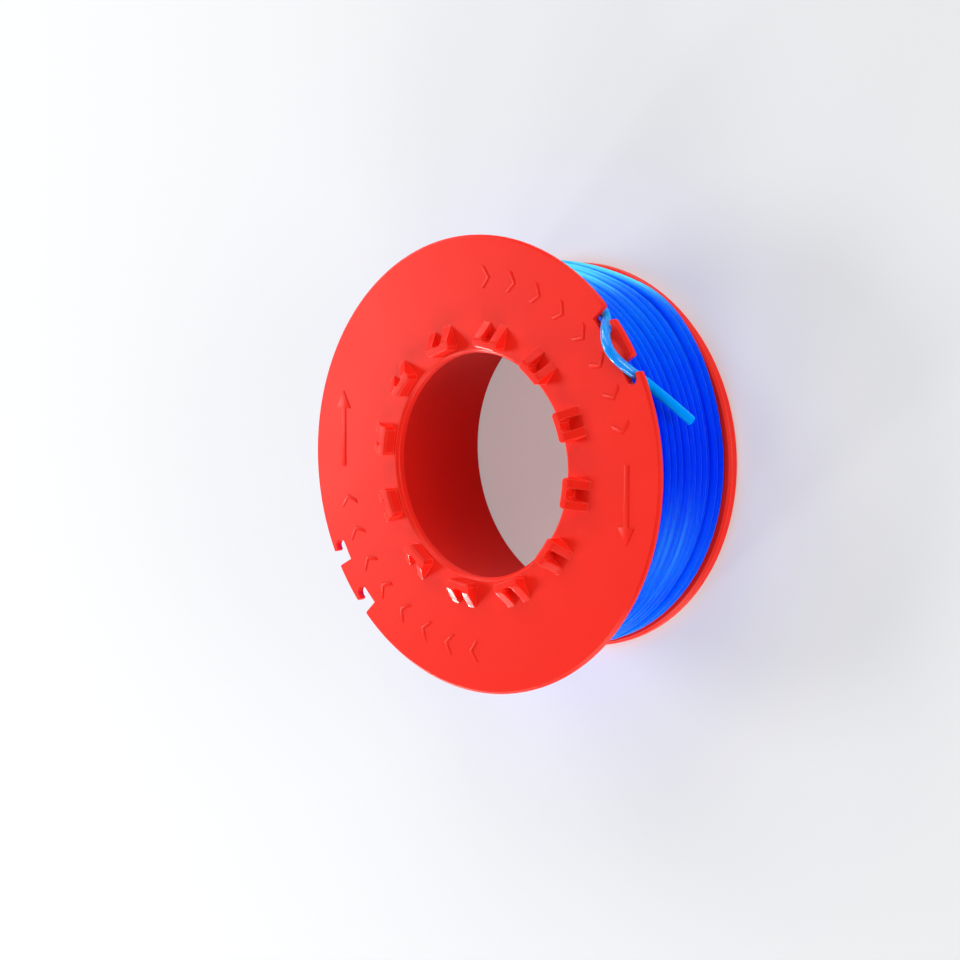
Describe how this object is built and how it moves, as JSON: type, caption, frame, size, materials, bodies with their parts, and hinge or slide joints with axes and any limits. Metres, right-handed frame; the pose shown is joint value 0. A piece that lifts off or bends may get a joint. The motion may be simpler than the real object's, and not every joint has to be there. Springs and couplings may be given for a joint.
{
  "type": "trimmer line spool",
  "caption": "Hollow moulded spool for a grass trimmer, with a cogged and slotted front flange and a smaller rear flange, wound with thick nylon cutting line clipped at its end",
  "frame": {"origin": "on the spool's axis, in the plane of the rear flange's outer face, on which the spool stands", "axes": "+Z is the spool's axis, towards the cogged front flange; +X goes through the pair of slots that holds the line's end; +Y completes the frame"},
  "size_m": [0.076, 0.076, 0.0297],
  "materials": {
    "spool_plastic": "glossy injection-moulded red plastic",
    "nylon_line": "smooth translucent blue nylon line"
  },
  "bodies": {
    "root": {"spool": "spool_plastic", "line_winding": "nylon_line", "line_end": "nylon_line"}
  },
  "joints": []
}
